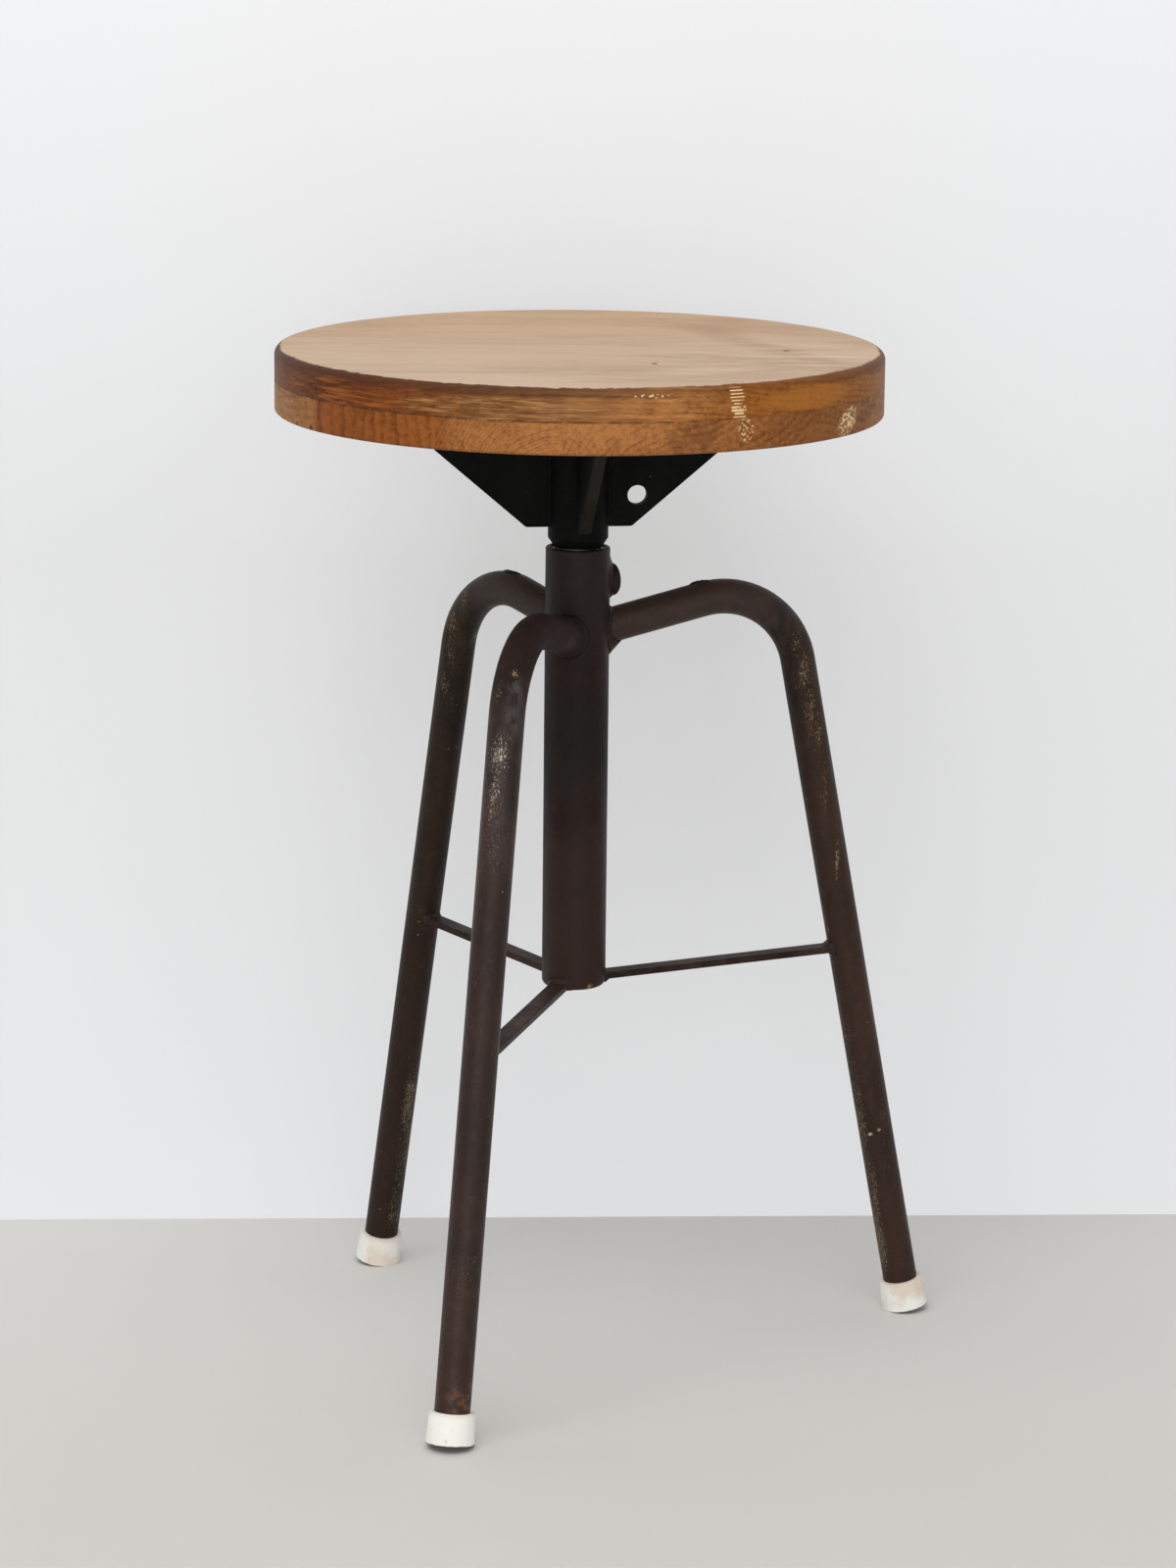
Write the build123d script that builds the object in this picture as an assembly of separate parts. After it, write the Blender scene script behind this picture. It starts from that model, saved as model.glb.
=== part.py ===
from build123d import *
import math
import os

# Every length is in millimetres and every angle in degrees.
# The column stands upright on the Z axis, and the floor is the plane Z = 0.

# Clearances
fit_clearance = 0.05      # round pieces fixed in a bore, on the radius
running_clearance = 0.06  # round pieces that turn in a bore, on the radius
weld_gap = 0.1            # root gap of a welded joint, filled by its bead
body_gap = 0.3            # between pieces that move past each other

# Column
column_diameter = 39
column_wall = 3
column_top_height = 499
column_length = 272
column_end_opening = 22   # hole left in the spun-in lower end
column_end_rounding = 4
column_rim_rounding = 1.2

# Nut in the column's top
nut_length = 40
nut_recess = 1            # from the column's rim down to the nut

# Legs, bent and welded by hand, so each has its own stance
leg_azimuths = {"right": 16.2, "left": 130.5, "front": -107.5}
leg_leans = {"right": 0, "left": 0, "front": -0.75}  # sideways, about the root
right_foot_reach = 221.8  # where the lower run's axis meets the floor
left_foot_reach = 194
front_foot_reach = 213
right_root_drop = 54      # from the column's rim down to where the upper run's axis meets the column's
left_root_drop = 48.5
front_root_drop = 56
leg_diameter = 21.3
leg_wall = 2.6
leg_splay_angle = 10.8    # lower run, from upright
leg_root_angle = 13.1     # upper run, from level
leg_bend_radius = 51

# Foot caps
cap_height = 19
cap_base = 4
cap_top_diameter = 26.8
cap_bottom_diameter = 29
cap_rounding = 0.8
cap_wear = 0.8            # worn flat on the inner edge, where the cap meets the floor

# Braces, flat bar
brace_width = 11
brace_thickness = 4.2
brace_rounding = 0.6
brace_root_height = 4     # above the column's lower end
right_brace_rise = 9      # from the column out to the leg
left_brace_rise = 10
front_brace_rise = -8

# Lifting spindle
spindle_diameter = 28
spindle_travel_length = 180
spindle_socket_length = 70  # inside the hub
journal_diameter = 20
guide_ring_height = 10
guide_ring_chamfer = 0.8
stop_washer_diameter = 26
stop_washer_thickness = 3
stop_bolt_diameter = 8
stop_bolt_grip_length = 20  # of its shank inside the spindle
stop_bolt_head_across = 13
stop_bolt_head_height = 5.3

# Hub and gussets
hub_diameter = 36.4
hub_lower_diameter = 29.2
hub_chamfer_height = 5.5
hub_height = 77
gusset_names = ["right", "rear", "left", "front"]
gusset_azimuth = 7.5
gusset_thickness = 7
gusset_bottom_height = 12.2  # above the hub's lower end
gusset_lower_reach = 32
gusset_upper_reach = 108
gusset_corner_rounding = 3
gusset_hole_diameter = 12
gusset_hole_reach = 35.3
gusset_hole_height = 31   # above the hub's lower end

# Seat flange and its wood screws
flange_reach = 114
flange_width = 32
flange_thickness = 5
flange_corner_rounding = 5
screw_reach = 92
screw_side_offset = 9.5   # either side of the gusset
screw_diameter = 5
screw_head_diameter = 10
screw_head_height = 3
screw_head_rounding = 2
screw_depth_in_seat = 16

# Seat
seat_diameter = 364
lower_board_thickness = 19
upper_board_thickness = 19.5
seat_top_rounding = 5
seat_bottom_rounding = 2
boards_across_seat = 5.05    # board widths in the seat's diameter
lower_edge_board = 0.4       # how much of a width is left of the lower layer's leftmost board
upper_edge_board = 0.51      # how much of a width is left of the upper layer's foremost board

# Lock
lock_azimuth = 25
lock_drop = 21.5          # from the column's rim down to the lock's axis
lock_boss_diameter = 20
lock_boss_length = 5.6    # proud of the column
lock_boss_rounding = 2.5
lock_screw_diameter = 10
lock_screw_length = 7.5
lock_slot_width = 1.6
lock_slot_depth = 2
lock_pad_thickness = 3

# Derived sizes
column_radius = column_diameter / 2
column_bore_radius = column_radius - column_wall
column_bottom_height = column_top_height - column_length
nut_top_height = column_top_height - nut_recess
nut_bottom_height = nut_top_height - nut_length
leg_radius = leg_diameter / 2
leg_root_heights = {
    "right": column_top_height - right_root_drop,
    "left": column_top_height - left_root_drop,
    "front": column_top_height - front_root_drop,
}
foot_reaches = {"right": right_foot_reach, "left": left_foot_reach, "front": front_foot_reach}
brace_rises = {"right": right_brace_rise, "left": left_brace_rise, "front": front_brace_rise}
leg_splay = math.radians(leg_splay_angle)
leg_root_rise = math.tan(math.radians(leg_root_angle))
brace_column_height = column_bottom_height + brace_root_height
spindle_radius = spindle_diameter / 2
journal_radius = journal_diameter / 2
stop_bolt_radius = stop_bolt_diameter / 2
hub_radius = hub_diameter / 2
hub_bottom_height = column_top_height + body_gap
flange_bottom_height = hub_bottom_height + hub_height
seat_bottom_height = flange_bottom_height + flange_thickness
glue_line_height = seat_bottom_height + lower_board_thickness
seat_top_height = glue_line_height + upper_board_thickness
seat_radius = seat_diameter / 2
board_width = seat_diameter / boards_across_seat
screw_radius = screw_diameter / 2
shoulder_height = nut_bottom_height - spindle_travel_length
journal_end_height = shoulder_height - guide_ring_height - 2 * body_gap
lock_height = column_top_height - lock_drop
lock_boss_reach = column_radius + lock_boss_length
lock_screw_radius = lock_screw_diameter / 2
lock_pad_start = spindle_radius + body_gap
lock_screw_start = lock_pad_start + lock_pad_thickness + body_gap
same_place = fit_clearance / 10  # how near two edges are taken as one

# How a solid stands on its placing point
on_base = (Align.CENTER, Align.CENTER, Align.MIN)
under_top = (Align.CENTER, Align.CENTER, Align.MAX)


def upright(radius, bottom, top):
    """A solid cylinder on the Z axis."""
    return Pos(0, 0, bottom) * Cylinder(radius, top - bottom, align=on_base)


def outward(radius, start, end):
    """A cylinder along +X at the lock's height."""
    base = Plane(origin=(start, 0, lock_height), z_dir=(1, 0, 0))
    return base * Cylinder(radius, end - start, align=on_base)


def turned(points):
    """A solid of revolution about the Z axis, from (radius, height) corners."""
    return revolve(make_face(Plane.XZ * Polyline(*points, close=True)), Axis.Z)


def swung(shape, azimuth):
    """A shape drawn along +X, swung round the column to its azimuth."""
    return Rot(0, 0, azimuth) * shape


def stood(shape, name):
    """A shape drawn with its leg upright along +X, leaned sideways and swung as that leg stands."""
    root_height = leg_root_heights[name]
    leaned = Pos(0, 0, root_height) * Rot(leg_leans[name], 0, 0) * Pos(0, 0, -root_height) * shape
    return swung(leaned, leg_azimuths[name])


def ring_edges(shape, radius, height):
    """The round edges of a shape about the Z axis with this radius and height."""
    rings = shape.edges().filter_by(GeomType.CIRCLE)
    return [
        ring for ring in rings
        if abs(ring.radius - radius) < same_place and abs(ring.arc_center.Z - height) < same_place
    ]


def lock_hole():
    """Tapped hole for the lock screw, through boss, column and nut."""
    return swung(outward(lock_screw_radius + running_clearance, 0, lock_boss_reach), lock_azimuth)


def column_tube():
    """Tube with a rounded rim and a lower end spun in to a smaller opening."""
    tube = upright(column_radius, column_bottom_height, column_top_height)
    tube = fillet(ring_edges(tube, column_radius, column_bottom_height), column_end_rounding)
    tube = fillet(ring_edges(tube, column_radius, column_top_height), column_rim_rounding)
    tube -= upright(column_bore_radius, column_bottom_height + column_wall, column_top_height)
    tube -= upright(column_end_opening / 2, column_bottom_height, column_top_height)
    return tube - lock_hole()


def column_nut():
    """Bush in the column's top that carries the spindle."""
    nut = upright(column_bore_radius - fit_clearance, nut_bottom_height, nut_top_height)
    nut -= upright(spindle_radius + running_clearance, nut_bottom_height, nut_top_height)
    return nut - lock_hole()


def lower_run_point(foot_reach, distance):
    """Reach and height of a point of a leg's lower run, this far up its axis from the floor."""
    return (foot_reach - distance * math.sin(leg_splay), distance * math.cos(leg_splay))


def on_lower_run(foot_reach, distance):
    """A plane square to a leg's lower run, this far up its axis."""
    reach, height = lower_run_point(foot_reach, distance)
    return Plane(
        origin=(reach, 0, height), x_dir=(0, 1, 0), z_dir=(-math.sin(leg_splay), 0, math.cos(leg_splay))
    )


def leg_corner(name):
    """Where the axes of a leg's upper and lower runs cross."""
    slope = math.tan(leg_splay)
    root_height = leg_root_heights[name]
    reach = (foot_reaches[name] - slope * root_height) / (1 + slope * leg_root_rise)
    return (reach, root_height + leg_root_rise * reach)


def cap_bottom_distance():
    """How far up the leg's axis the cap's base lies, so that its worn flat is on the floor."""
    return (cap_bottom_diameter / 2 * math.sin(leg_splay) - cap_wear) / math.cos(leg_splay)


def leg(name):
    """Bent tube, coped to the column at its root and cut square in its cap."""
    end = lower_run_point(foot_reaches[name], cap_bottom_distance() + cap_base)
    corners = [(0, leg_root_heights[name]), leg_corner(name), end]
    path = Plane.XZ * FilletPolyline(*corners, radius=leg_bend_radius)
    start = Plane(origin=path @ 0, z_dir=path % 0)
    tube = sweep(start * Circle(leg_radius), path=path)
    tube -= sweep(start * Circle(leg_radius - leg_wall), path=path)
    return stood(tube, name) - upright(column_radius + weld_gap, 0, column_top_height)


def foot_cap(name):
    """Tapered cap with a socket for the leg, worn flat where it meets the floor."""
    bottom_radius = cap_bottom_diameter / 2
    top_radius = cap_top_diameter / 2
    cap = turned([(0, 0), (bottom_radius, 0), (top_radius, cap_height), (0, cap_height)])
    rims = ring_edges(cap, bottom_radius, 0) + ring_edges(cap, top_radius, cap_height)
    cap = fillet(rims, cap_rounding)
    cap -= upright(leg_radius + fit_clearance, cap_base, cap_height)
    cap = stood(on_lower_run(foot_reaches[name], cap_bottom_distance()) * cap, name)
    return cap - Box(column_top_height, column_top_height, cap_height, align=under_top)


def brace(name):
    """Flat bar, coped to the column and to the leg's inner side."""
    distance = (brace_column_height + brace_rises[name]) / math.cos(leg_splay)
    reach, height = lower_run_point(foot_reaches[name], distance)
    path = Line((0, 0, brace_column_height), (reach, 0, height))
    section = Plane(origin=path @ 0, x_dir=(0, 1, 0), z_dir=path % 0)
    bar = sweep(section * RectangleRounded(brace_width, brace_thickness, brace_rounding), path=path)
    bar -= on_lower_run(foot_reaches[name], 0) * upright(leg_radius + weld_gap, 0, column_top_height)
    return stood(bar, name) - upright(column_radius + weld_gap, 0, column_top_height)


def lock_boss():
    """Round boss on the column's side, tapped for the lock screw."""
    boss = outward(lock_boss_diameter / 2, 0, lock_boss_reach)
    boss = fillet(boss.faces().sort_by(Axis.X)[-1].edges(), lock_boss_rounding)
    boss -= upright(column_radius + weld_gap, 0, column_top_height)
    return swung(boss, lock_azimuth) - lock_hole()


def lock_pad():
    """Soft pad that the lock screw presses on the spindle."""
    pad = outward(lock_screw_radius - fit_clearance, lock_pad_start, lock_pad_start + lock_pad_thickness)
    return swung(pad, lock_azimuth)


def lock_screw():
    """Slotted screw behind the pad."""
    end = lock_screw_start + lock_screw_length
    slot = Pos(end, 0, lock_height) * Box(2 * lock_slot_depth, lock_screw_diameter, lock_slot_width)
    return swung(outward(lock_screw_radius, lock_screw_start, end) - slot, lock_azimuth)


def spindle():
    """Lifting screw at its major diameter, with a journal and a tapped hole at its lower end."""
    bar = upright(spindle_radius, shoulder_height, hub_bottom_height + spindle_socket_length)
    bar += upright(journal_radius, journal_end_height, shoulder_height)
    hole_end = journal_end_height + stop_bolt_grip_length + body_gap
    return bar - upright(stop_bolt_radius + fit_clearance, journal_end_height, hole_end)


def spindle_guide_ring():
    """Ring on the spindle's journal that runs up and down in the column."""
    top = shoulder_height - body_gap
    bottom = top - guide_ring_height
    ring = upright(column_bore_radius - body_gap, bottom, top)
    ring = chamfer(ring.edges().filter_by(GeomType.CIRCLE), guide_ring_chamfer)
    return ring - upright(journal_radius + running_clearance, bottom, top)


def spindle_stop_washer():
    """Washer that holds the guide ring on its journal."""
    bottom = journal_end_height - stop_washer_thickness
    washer = upright(stop_washer_diameter / 2, bottom, journal_end_height)
    return washer - upright(stop_bolt_radius + fit_clearance, bottom, journal_end_height)


def spindle_stop_bolt():
    """Hexagon bolt up into the spindle's lower end."""
    head_top = journal_end_height - stop_washer_thickness
    hexagon = RegularPolygon(stop_bolt_head_across / 2, 6, major_radius=False)
    head = Pos(0, 0, head_top - stop_bolt_head_height) * extrude(hexagon, stop_bolt_head_height)
    return head + upright(stop_bolt_radius, head_top, journal_end_height + stop_bolt_grip_length)


def hub_tube():
    """Socket for the spindle, chamfered at its lower end."""
    bore = spindle_radius + fit_clearance
    return turned([
        (bore, hub_bottom_height),
        (hub_lower_diameter / 2, hub_bottom_height),
        (hub_radius, hub_bottom_height + hub_chamfer_height),
        (hub_radius, flange_bottom_height),
        (bore, flange_bottom_height),
    ])


def gusset(has_hole):
    """Trapezoid plate from the hub out to the seat flange."""
    bottom = hub_bottom_height + gusset_bottom_height
    outline = Polyline(
        (0, bottom), (gusset_lower_reach, bottom),
        (gusset_upper_reach, flange_bottom_height), (0, flange_bottom_height), close=True,
    )
    plate = extrude(make_face(Plane.XZ * outline), gusset_thickness / 2, both=True)
    lower_corner = plate.edges().filter_by(Axis.Y).sort_by(Axis.Z)[:2].sort_by(Axis.X)[-1]
    plate = fillet(lower_corner, gusset_corner_rounding)
    if has_hole:
        centre = (gusset_hole_reach, 0, hub_bottom_height + gusset_hole_height)
        drill = Cylinder(gusset_hole_diameter / 2, gusset_thickness)
        plate -= Plane(origin=centre, z_dir=(0, -1, 0)) * drill
    return plate - upright(hub_radius + weld_gap, hub_bottom_height, flange_bottom_height)


def screw_places():
    """Places of the wood screws, one each side of every gusset."""
    sides = [-screw_side_offset, screw_side_offset]
    turns = [gusset_azimuth + 360 / len(gusset_names) * number for number in range(len(gusset_names))]
    return [Rot(0, 0, turn) * Pos(screw_reach, side, 0) for turn in turns for side in sides]


def screw_holes(bottom, top):
    """Round holes at every screw's place."""
    return [place * upright(screw_radius + fit_clearance, bottom, top) for place in screw_places()]


def seat_flange():
    """Cross of flat bars under the seat, with a hole for every screw."""
    bar = Box(2 * flange_reach, flange_width, flange_thickness, align=on_base)
    bar = Pos(0, 0, flange_bottom_height) * bar
    bar = fillet(bar.edges().filter_by(Axis.Z), flange_corner_rounding)
    cross = swung(bar + Rot(0, 0, 90) * bar, gusset_azimuth)
    return cross - screw_holes(flange_bottom_height, seat_bottom_height)


def seat_screws():
    """Round-headed wood screws up through the flange into the lower boards."""
    head_radius = screw_head_diameter / 2
    head_bottom = flange_bottom_height - screw_head_height
    head = upright(head_radius, head_bottom, flange_bottom_height)
    head = fillet(ring_edges(head, head_radius, head_bottom), screw_head_rounding)
    screw = head + upright(screw_radius, flange_bottom_height, seat_bottom_height + screw_depth_in_seat)
    return Compound([place * screw.solid() for place in screw_places()])


def boards(layer, edge_board, bottom, thickness, turn):
    """A layer of the seat, cut along its glued joints."""
    joints = [-seat_radius, edge_board * board_width - seat_radius]
    while joints[-1] + board_width < seat_radius:
        joints.append(joints[-1] + board_width)
    joints.append(seat_radius)
    cut = []
    for start, end in zip(joints, joints[1:]):
        strip = Box(end - start, seat_diameter, thickness, align=on_base)
        cut.append(layer & (Rot(0, 0, turn) * Pos((start + end) / 2, 0, bottom) * strip))
    return cut


def lower_boards():
    """Boards that run front to back, with pilot holes for the screws."""
    layer = upright(seat_radius, seat_bottom_height, glue_line_height)
    layer = fillet(ring_edges(layer, seat_radius, seat_bottom_height), seat_bottom_rounding)
    layer -= screw_holes(seat_bottom_height, seat_bottom_height + screw_depth_in_seat + body_gap)
    return boards(layer, lower_edge_board, seat_bottom_height, lower_board_thickness, 0)


def upper_boards():
    """Boards that run left to right, rounded along the seat's top edge."""
    layer = upright(seat_radius, glue_line_height, seat_top_height)
    layer = fillet(ring_edges(layer, seat_radius, seat_top_height), seat_top_rounding)
    return boards(layer, upper_edge_board, glue_line_height, upper_board_thickness, 90)


def all_pieces():
    """Every piece of the stool by name, in place."""
    pieces = {
        "column_tube": column_tube(),
        "column_nut": column_nut(),
        "lock_boss": lock_boss(),
        "lock_pad": lock_pad(),
        "lock_screw": lock_screw(),
        "spindle": spindle(),
        "spindle_guide_ring": spindle_guide_ring(),
        "spindle_stop_washer": spindle_stop_washer(),
        "spindle_stop_bolt": spindle_stop_bolt(),
        "hub_tube": hub_tube(),
        "seat_flange": seat_flange(),
        "seat_screws": seat_screws(),
    }
    for name in leg_azimuths:
        pieces["leg_" + name] = leg(name)
        pieces["foot_cap_" + name] = foot_cap(name)
        pieces["brace_" + name] = brace(name)
    for number, name in enumerate(gusset_names):
        azimuth = gusset_azimuth + 360 / len(gusset_names) * number
        pieces["gusset_" + name] = swung(gusset(has_hole=name == "right"), azimuth)
    for number, board in enumerate(lower_boards(), start=1):
        pieces[f"seat_lower_board_{number}"] = board
    for number, board in enumerate(upper_boards(), start=1):
        pieces[f"seat_upper_board_{number}"] = board
    return pieces


os.makedirs("parts", exist_ok=True)
for node, shape in all_pieces().items():
    export_step(shape, f"parts/{node}.step")
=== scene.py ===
from functools import reduce
from math import copysign, cos, pi, radians, sin, sqrt, tan

import bpy
from mathutils import Matrix, Vector, noise


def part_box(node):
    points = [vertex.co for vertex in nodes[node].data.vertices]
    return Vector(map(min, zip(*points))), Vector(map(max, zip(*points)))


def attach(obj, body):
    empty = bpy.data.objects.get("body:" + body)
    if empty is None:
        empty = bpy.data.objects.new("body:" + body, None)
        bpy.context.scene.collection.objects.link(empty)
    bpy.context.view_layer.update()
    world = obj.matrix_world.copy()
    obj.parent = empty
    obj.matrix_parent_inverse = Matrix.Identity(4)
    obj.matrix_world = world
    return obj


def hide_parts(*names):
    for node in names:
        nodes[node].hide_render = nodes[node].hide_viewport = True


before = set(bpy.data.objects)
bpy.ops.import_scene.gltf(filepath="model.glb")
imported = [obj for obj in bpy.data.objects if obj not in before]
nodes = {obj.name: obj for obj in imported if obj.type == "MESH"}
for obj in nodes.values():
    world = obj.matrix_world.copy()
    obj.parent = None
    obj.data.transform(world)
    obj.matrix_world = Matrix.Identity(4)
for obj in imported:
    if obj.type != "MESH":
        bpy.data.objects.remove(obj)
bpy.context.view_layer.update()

# The camera that was fitted to the photo: place in metres, pitch, yaw and roll in degrees, and its lens
CAMERA_PLACE = Vector((0.0, -2.909, 0.999))
CAMERA_ANGLES = (12.53, 0.15, 0.62)
FOCAL_PIXELS = 5000
HEIGHT_PIXELS = 1600
SENSOR_SIZE = 36.0

# Sizes of the solids that the added pieces sit on, in metres
COLUMN_RADIUS = 0.0195
LEG_RADIUS = 0.01065
LEG_RISE = radians(13.1)
LEG_SPLAY = radians(10.8)
LEG_BEND_RADIUS = 0.051
BRACE_WIDTH = 0.011
BRACE_THICKNESS = 0.0042
BRACE_ROOT_HEIGHT = 0.231
HUB_RADIUS = 0.0182
FLANGE_BOTTOM = 0.5763
GUSSET_BOTTOM = 0.5115
GUSSET_AZIMUTH = radians(7.5)
GUSSET_HALF_THICKNESS = 0.0035
GLUE_LINE = 0.6003
SEAT_TOP = 0.6198
SEAT_RADIUS = 0.182
LOCK_AZIMUTH = radians(25)
LOCK_HEIGHT = 0.4775
LOCK_BOSS_RADIUS = 0.01
CAP_BOTTOM = 0.00195
CAP_TOP = 0.02095

# Weld sizes
ROOT_WELD = 0.0024
BRACE_WELD = 0.0027
BOSS_WELD = 0.0022
BOSS_WELD_LENGTH = 0.0026
GUSSET_WELD = 0.0021
FLANGE_WELD = 0.0018
HUB_WELD = 0.002
# How much a leg's root fillet grows underneath, and the boss's fillet above it
ROOT_WELD_UNDER = {"right": 0.0042, "left": 0.0016, "front": 0.0014}
BOSS_WELD_ABOVE = 0.0045
# How far out the flange's and the boss's welds reach, how low a brace's does, and how deep a toe lies
FLANGE_WELD_END = 0.103
BOSS_WELD_END = 0.0221
BRACE_WELD_FLOOR = 0.2275
TOE_DEPTH = 0.0001

# The lifting screw's thread, and the journal and the bolt's hole at its lower end
THREAD_PITCH = 0.005
THREAD_CREST = 0.014
THREAD_ROOT = 0.0117
JOURNAL_RADIUS = 0.01
JOURNAL_LENGTH = 0.0106
BOLT_HOLE_RADIUS = 0.00405
BOLT_HOLE_DEPTH = 0.0203

# Each leg's stance: azimuth, sideways lean, reach on the floor, height of its root and rise of its brace
LEGS = {
    "right": (radians(16.2), 0.0, 0.2218, 0.445, 0.009),
    "left": (radians(130.5), 0.0, 0.194, 0.4505, 0.01),
    "front": (radians(-107.5), radians(-0.75), 0.213, 0.443, -0.008),
}
# Which way a leg's upper run leads out and its lower run leads up, drawn with the leg along +X
UPPER_RUN_WAY = Vector((cos(LEG_RISE), 0.0, sin(LEG_RISE)))
LOWER_RUN_WAY = Vector((-sin(LEG_SPLAY), 0.0, cos(LEG_SPLAY)))


class Surface:
    """A material and short ways to add nodes to it."""

    def __init__(self, name):
        self.material = bpy.data.materials.new(name)
        self.material.use_nodes = True
        self.tree = self.material.node_tree
        self.shader = self.tree.nodes["Principled BSDF"]
        self.place = self.add("TexCoord").outputs["Object"]
        split = self.add("SeparateXYZ", [self.place])
        self.x, self.y, self.z = split.outputs

    def add(self, kind, inputs=(), **settings):
        node = self.tree.nodes.new("ShaderNode" + kind)
        for key, value in settings.items():
            setattr(node, key, value)
        pairs = inputs.items() if isinstance(inputs, dict) else enumerate(inputs)
        for key, value in pairs:
            self.feed(node.inputs[key], value)
        return node

    def feed(self, socket, value):
        if isinstance(value, bpy.types.NodeSocket):
            self.tree.links.new(value, socket)
        else:
            socket.default_value = (*value, 1.0) if socket.type == "RGBA" else value

    def math(self, operation, a, b=0.0):
        return self.add("Math", [a, b], operation=operation).outputs[0]

    def plus(self, a, b):
        return self.math("ADD", a, b)

    def minus(self, a, b):
        return self.math("SUBTRACT", a, b)

    def times(self, a, b):
        return self.math("MULTIPLY", a, b)

    def steps(self, value, low, high, to_low=0.0, to_high=1.0, kind="SMOOTHSTEP"):
        """Smoothly from to_low to to_high as the value goes from low to high, and no further."""
        inputs = {"Value": value, "From Min": low, "From Max": high, "To Min": to_low, "To Max": to_high}
        return self.add("MapRange", inputs, interpolation_type=kind).outputs[0]

    def steps_straight(self, *values):
        """The same, but evenly."""
        return self.steps(*values, kind="LINEAR")

    def stretched(self, scale, shift=(0.0, 0.0, 0.0)):
        """The object's own coordinates, scaled by axis and shifted."""
        inputs = {"Vector": self.place, "Location": shift, "Scale": scale}
        return self.add("Mapping", inputs).outputs[0]

    def noise(self, scale, detail=3.0, vector=None, roughness=0.5, distortion=0.0):
        inputs = {"Vector": vector or self.place, "Scale": scale, "Detail": detail, "Roughness": roughness,
                  "Distortion": distortion}
        return self.add("TexNoise", inputs).outputs[0]

    def cells(self, scale, vector=None):
        inputs = {"Vector": vector or self.place, "Scale": scale}
        return self.add("TexVoronoi", inputs).outputs[0]

    def dice(self, count):
        """A random number from 0 to 1 for every whole step of the count."""
        inputs = {"W": self.math("FLOOR", count)}
        return self.add("TexWhiteNoise", inputs, noise_dimensions="1D").outputs["Value"]

    def vector(self, operation, *inputs):
        outputs = self.add("VectorMath", inputs, operation=operation).outputs
        return outputs["Value" if operation in ("DISTANCE", "LENGTH", "DOT_PRODUCT") else "Vector"]

    def mix(self, factor, a, b, blend="MIX"):
        inputs = {0: factor, 6: a, 7: b}
        return self.add("Mix", inputs, data_type="RGBA", blend_type=blend).outputs[2]

    def stain(self, colour, mask, amount, tone):
        """The colour with a tone laid over it where the mask is, at this strength."""
        return self.mix(self.times(mask, amount), colour, tone)

    def darkened(self, colour, tone, shares):
        """The colour, going to these shares of it as the tone goes from 0 to 1."""
        dark = self.mix(1.0, colour, shares, "MULTIPLY")
        return self.mix(self.steps_straight(tone, 0.0, 1.0), colour, dark)

    def ramp(self, factor, stops):
        """Colours or shares of white by the factor."""
        node = self.add("ValToRGB", [factor])
        elements = node.color_ramp.elements
        while len(elements) < len(stops):
            elements.new(1.0)
        for element, (at, colour) in zip(elements, stops):
            element.position = at
            element.color = (*colour, 1.0) if isinstance(colour, tuple) else (colour, colour, colour, 1.0)
        return node.outputs[0]

    def finish(self, colour, roughness, height=None, bump=0.0, depth=0.001, specular=0.5, metallic=0.0):
        values = {"Base Color": colour, "Roughness": roughness, "Metallic": metallic,
                  "Specular IOR Level": specular}
        if height is not None:
            inputs = {"Strength": bump, "Distance": depth, "Height": height}
            values["Normal"] = self.add("Bump", inputs).outputs[0]
        for name, value in values.items():
            self.feed(self.shader.inputs[name], value)
        return self.material


def square_sum(s, a, b):
    return s.plus(s.times(a, a), s.times(b, b))


def both(s, *masks):
    """The product of several masks."""
    return reduce(s.times, masks)


def either(s, *masks):
    """The strongest of several masks."""
    return reduce(lambda a, b: s.math("MAXIMUM", a, b), masks)


def blob(s, centre, radius):
    """1 near a point of the object, fading to 0 at the radius."""
    return s.steps(s.vector("DISTANCE", s.place, centre), 0.4 * radius, radius, 1.0, 0.0)


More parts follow.
